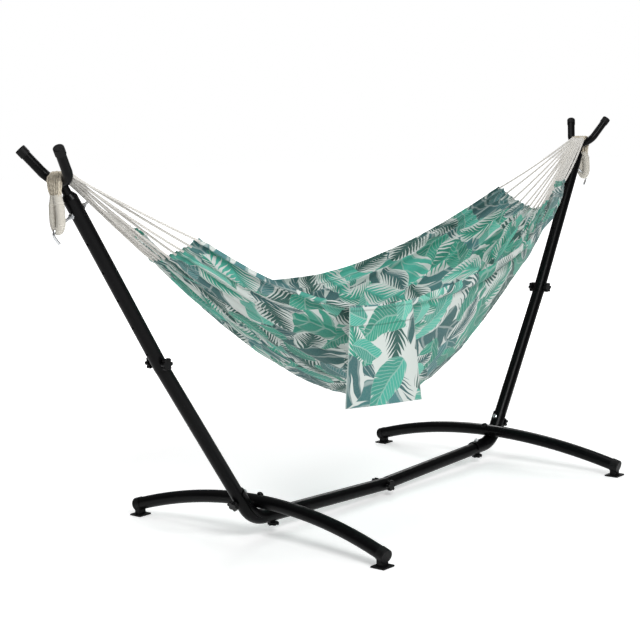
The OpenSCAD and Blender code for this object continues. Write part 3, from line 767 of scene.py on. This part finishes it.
def foldHeight(s, v):
    total = pleatHeight(s, v)
    soft = noise.noise(Vector((s * 7, v * 9, 3.0))) + 0.5 * noise.noise(Vector((s * 17, v * 30, 8.0)))
    total += bed["wrinkle"] * soft * (1.6 - abs(s))
    if s > 0:
        total += longFoldHeight(s, v)
    return total + hemHeight(s, v)


def bedSurface(s, v):
    step = 0.002
    here = bedPoint(s, v)
    along = bedPoint(s + step, v) - bedPoint(s - step, v)
    over = bedPoint(s, v + step) - bedPoint(s, v - step)
    out = over.cross(along).normalized()
    return here + out * foldHeight(s, v)


def closerAtEnds(t, amount):
    return t * (1 + amount - amount * t * t)


def markPoints(piece, name, values):
    layer = piece.data.attributes.new(name, "FLOAT", "POINT")
    for spot, value in zip(layer.data, values):
        spot.value = value


def makeBed():
    columns, rows = bed["steps"]
    width, length = bed["cut"]
    edgeSeam, endSeam = bed["hemSeams"]
    points, spread, faces, stitched = [], [], [], []
    for i in range(columns + 1):
        s = closerAtEnds(-1 + 2 * i / columns, 0.25)
        for j in range(rows + 1):
            v = closerAtEnds(-1 + 2 * j / rows, 0.32)
            points.append(bedSurface(s, v))
            spread.append((s * length / 2, v * width / 2))
            seam = min(abs(abs(v) - edgeSeam) / 0.006, abs(abs(s) - endSeam) / 0.003)
            stitched.append(max(0.0, 1 - seam))
    for i in range(columns):
        for j in range(rows):
            a = i * (rows + 1) + j
            faces.append((a, a + rows + 1, a + rows + 2, a + 1))
    piece = finishMesh("clothBed", points, faces, spread)
    markPoints(piece, "stitch", stitched)
    markPoints(piece, "piping", [0.0] * len(points))
    applyModifier(piece, "SOLIDIFY", thickness=bed["thickness"], offset=0.0)
    piece.data.materials.append(cotton)
    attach(piece, "hammock")
    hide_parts("bed")
    return piece


clothBed = makeBed()
print("cloth bed ready")


# ---- the pocket

pocket = {
    "left": (-0.552, -0.352),  # x and y of the top corners
    "right": (-0.321, -0.405),
    "spread": 0.028,  # how much wider the bottom is, each side
    "drop": 0.308,
    "top": 0.745,
    "cut": (0.29, 0.31),
    "printPlace": (1.31, 2.17, 0.4),  # where in the print it is cut from, and how far on the front layer
    "seams": (0.05, 0.2),
    "seamWidth": 0.009,
    "piping": (0.02, 0.7),  # share of the width, strength
    "clearance": 0.004,
    "bellies": (0.002, 0.010),  # of the back layer and of the front layer
    "steps": (100, 130),
}


def pocketSpot(u, t, layer):
    # u runs from left to right, t from the top down
    a = Vector((*pocket["left"], 0))
    b = Vector((*pocket["right"], 0))
    out = Vector((b.y - a.y, a.x - b.x, 0)).normalized()
    grow = 1 + 2 * pocket["spread"] * t / (b - a).length
    rim = (4 * u * (1 - u)) ** 0.5
    belly = pocket["bellies"][layer] * rim
    if layer:
        belly *= math.sin(math.pi * min(1, t * 0.85 + 0.05))
    ripple = 0.0035 * math.sin(u * 15 + t * 2.0) * (1 - t) ** 2 + 0.002 * math.sin(u * 7 + t * 5)
    spot = (a + b) / 2 + (b - a) * (u - 0.5) * grow + out * (pocket["clearance"] + belly + ripple)
    spot.z = pocket["top"] - pocket["drop"] * t - 0.006 * math.sin(u * math.pi) * (1 - t) - 0.012 * u * t
    return spot


def pocketFaces():
    # the back layer, the front layer and the strip that joins them all round
    columns, rows = pocket["steps"]
    layerSize = (columns + 1) * (rows + 1)
    faces = []
    for layer in (0, 1):
        for i in range(columns):
            for j in range(rows):
                k = layer * layerSize + i * (rows + 1) + j
                quad = (k, k + rows + 1, k + rows + 2, k + 1)
                faces.append(quad if layer == 0 else quad[::-1])
    rim = [i * (rows + 1) for i in range(columns + 1)]
    rim += [columns * (rows + 1) + j for j in range(1, rows + 1)]
    rim += [i * (rows + 1) + rows for i in range(columns - 1, -1, -1)]
    rim += [j for j in range(rows - 1, 0, -1)]
    for p, q in zip(rim, rim[1:] + rim[:1]):
        faces.append((p, q, q + layerSize, p + layerSize))
    return faces


def makePocket():
    columns, rows = pocket["steps"]
    width, height = pocket["cut"]
    printX, printY, shift = pocket["printPlace"]
    trimWidth, trimStrength = pocket["piping"]
    points, spread, stitched, piped = [], [], [], []
    for layer in (0, 1):
        for i in range(columns + 1):
            u = i / columns
            for j in range(rows + 1):
                t = j / rows
                points.append(pocketSpot(u, t, layer))
                spread.append((u * width + printX, (1 - t) * height + printY + layer * shift))
                seam = min(abs(t - place) for place in pocket["seams"]) / pocket["seamWidth"]
                stitched.append(max(0.0, 1 - seam))
                piped.append(max(0.0, 1 - min(u, 1 - u) / trimWidth) * trimStrength)
    piece = finishMesh("clothPocket", points, pocketFaces(), spread)
    markPoints(piece, "stitch", stitched)
    markPoints(piece, "piping", piped)
    selectOnly(piece)
    bpy.ops.object.mode_set(mode="EDIT")
    bpy.ops.mesh.select_all(action="SELECT")
    bpy.ops.mesh.normals_make_consistent(inside=False)
    bpy.ops.object.mode_set(mode="OBJECT")
    piece.data.materials.append(cotton)
    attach(piece, "pocket")
    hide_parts("pocket")


makePocket()
print("pocket ready")


# ---- end cords, saddle strands and rope eyes

ropes = {
    "cords": 16,
    "cordWidth": 0.0074,
    "cordSteps": 16,
    "cordLift": (0.0215, 0.0055),  # above the saddle's middle, and how much higher every second one lies
    "saddleSpread": 0.024,
    "saddleRadius": 0.02605,  # of the outer strands' outside
    "hemReach": (0.994, 0.985),  # where the cords meet the cloth: along the bed, outermost across it
    # where around the saddle the cords leave it, in degrees: outermost, and more in the middle
    "leave": (118, 14),
    "sag": 0.006,
    "strandWidth": 0.0076,
    "strands": 7,
    "strandRadii": (0.0186, 0.0066),  # of the inner layer, and how much more the outer one has
    "strandSpread": 0.0245,
    "strandWrap": (132, 11),  # degrees around the saddle, and the step between points
    "strandCross": 0.010,
    "strandStray": 0.0022,
    "tail": (0.012, 0.42),  # how far the strands run on below, how much narrower they get
    "eyeWidth": 0.0265,
    "eyeGap": 0.0148,
    "eyeOut": 0.0215,
    "wrapPitch": 0.0046,
    "wrapDepth": 0.0018,
    "seed": 4,
}
ropeDice = random.Random(ropes["seed"])


def saddlePlace(end):
    # the middle that the strands bend around, from their outer face and their highest point
    outer, _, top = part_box("eye_strands_right")[1]
    radius = ropes["saddleRadius"]
    return Vector((end * (outer - radius), 0, top - radius))


def endCordPaths(end):
    middle = saddlePlace(end)
    along, across = ropes["hemReach"]
    base, step = ropes["cordLift"]
    outermost, more = ropes["leave"]
    paths = []
    for i in range(ropes["cords"]):
        v = -across + 2 * across * i / (ropes["cords"] - 1)
        hem = bedSurface(end * along, v)
        lift = base + step * (i % 2)
        angle = math.radians(outermost + more * (1 - abs(v)))
        y = v * ropes["saddleSpread"]
        start = middle + Vector((end * lift * math.cos(angle), y, lift * math.sin(angle)))
        droop = ropes["sag"] * ropeDice.uniform(0.4, 1.6)
        path = []
        for k in range(ropes["cordSteps"] + 1):
            t = k / ropes["cordSteps"]
            spot = start.lerp(hem, t)
            spot.z -= droop * 4 * t * (1 - t)
            path.append(spot)
        paths.append(path)
    return paths


def makeEndCords(end, word):
    for i, path in enumerate(endCordPaths(end)):
        piece = tubeAlong(f"endCord{word}{i + 1:02d}", [path], [ropes["cordWidth"]], 8)
        piece.data.materials.append(cordCotton)
        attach(piece, "hammock")
        if i == 0:
            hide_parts(f"end_cords_{word.lower()}")


def strandPath(middle, bottom, end, across, layer):
    # over the saddle from the cords' side, then down on its outer side
    inner, more = ropes["strandRadii"]
    stray = ropes["strandStray"]
    radius = inner + more * layer
    spread = across * ropes["strandSpread"]
    run, narrow = ropes["tail"]
    wrap, step = ropes["strandWrap"]
    cross = ropeDice.uniform(-0.5, 0.5) * ropes["strandCross"]
    path = []
    for angle in range(wrap, -1, -step):
        a = math.radians(angle)
        y = spread + cross * (1 - angle / wrap) + ropeDice.uniform(-0.4, 0.4) * stray
        r = radius + layer * ropeDice.uniform(-0.2, 1.0) * stray
        path.append(middle + Vector((end * r * math.cos(a), y, r * math.sin(a))))
    for k in (1, 2, 3, 4):
        t = k / 4
        y = (spread + cross) * (1 - narrow * t) + ropeDice.uniform(-0.5, 0.5) * stray
        z = middle.z + (bottom - run - middle.z) * t
        path.append(Vector((middle.x + end * (radius + ropeDice.uniform(-0.4, 0.6) * stray), y, z)))
    return smoothPath(path, 3)


def makeSaddleStrands(end, word):
    middle = saddlePlace(end)
    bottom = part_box(f"eye_strands_{word.lower()}")[0][2]
    count = ropes["strands"]
    paths = []
    for layer in (0, 1):
        for i in range(count):
            across = (i / (count - 1) - 0.5) * 2
            paths.append(strandPath(middle, bottom, end, across, layer))
    piece = tubeAlong(f"saddleStrands{word}", paths, [ropes["strandWidth"]] * len(paths), 8)
    piece.data.materials.append(ropeCotton)
    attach(piece, "stand")
    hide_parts(f"eye_strands_{word.lower()}")


def makeEye(end, word):
    low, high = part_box(f"eye_loop_{word.lower()}")
    x = saddlePlace(end).x + end * ropes["eyeOut"]
    top = high[2] - 0.004
    bottom = low[2] + ropes["eyeWidth"] / 2 - 0.006
    centre = (top + bottom) / 2
    gap = ropes["eyeGap"]
    # half of the eye, from the top down: y and z
    half = (
        (0.006, top),
        (0.010, top - 0.022),
        (gap * 0.92, centre + 0.02),
        (gap, centre - 0.012),
        (gap * 0.9, bottom + 0.016),
        (gap * 0.45, bottom + 0.003),
        (0, bottom),
    )
    points = [Vector((x, y, z)) for y, z in half]
    points += [Vector((x, -y, z)) for y, z in reversed(half[:-1])]
    path = smoothPath(points, 26)
    widths, run = [], 0.0
    for k, spot in enumerate(path):
        run += (spot - path[k - 1]).length if k else 0.0
        # each turn of the whipping twine
        turn = abs(math.sin(math.pi * run / ropes["wrapPitch"]))
        widths.append(ropes["eyeWidth"] - ropes["wrapDepth"] * (1 - turn ** 0.6))
    piece = tubeAlong(f"ropeEye{word}", [path], [widths], 20)
    piece.data.materials.append(wrapCotton)
    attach(piece, "stand")
    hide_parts(f"eye_loop_{word.lower()}")


for end, word in ((-1, "Left"), (1, "Right")):
    makeEndCords(end, word)
    makeSaddleStrands(end, word)
    makeEye(end, word)
print("cords and ropes ready")

print("scene ready")
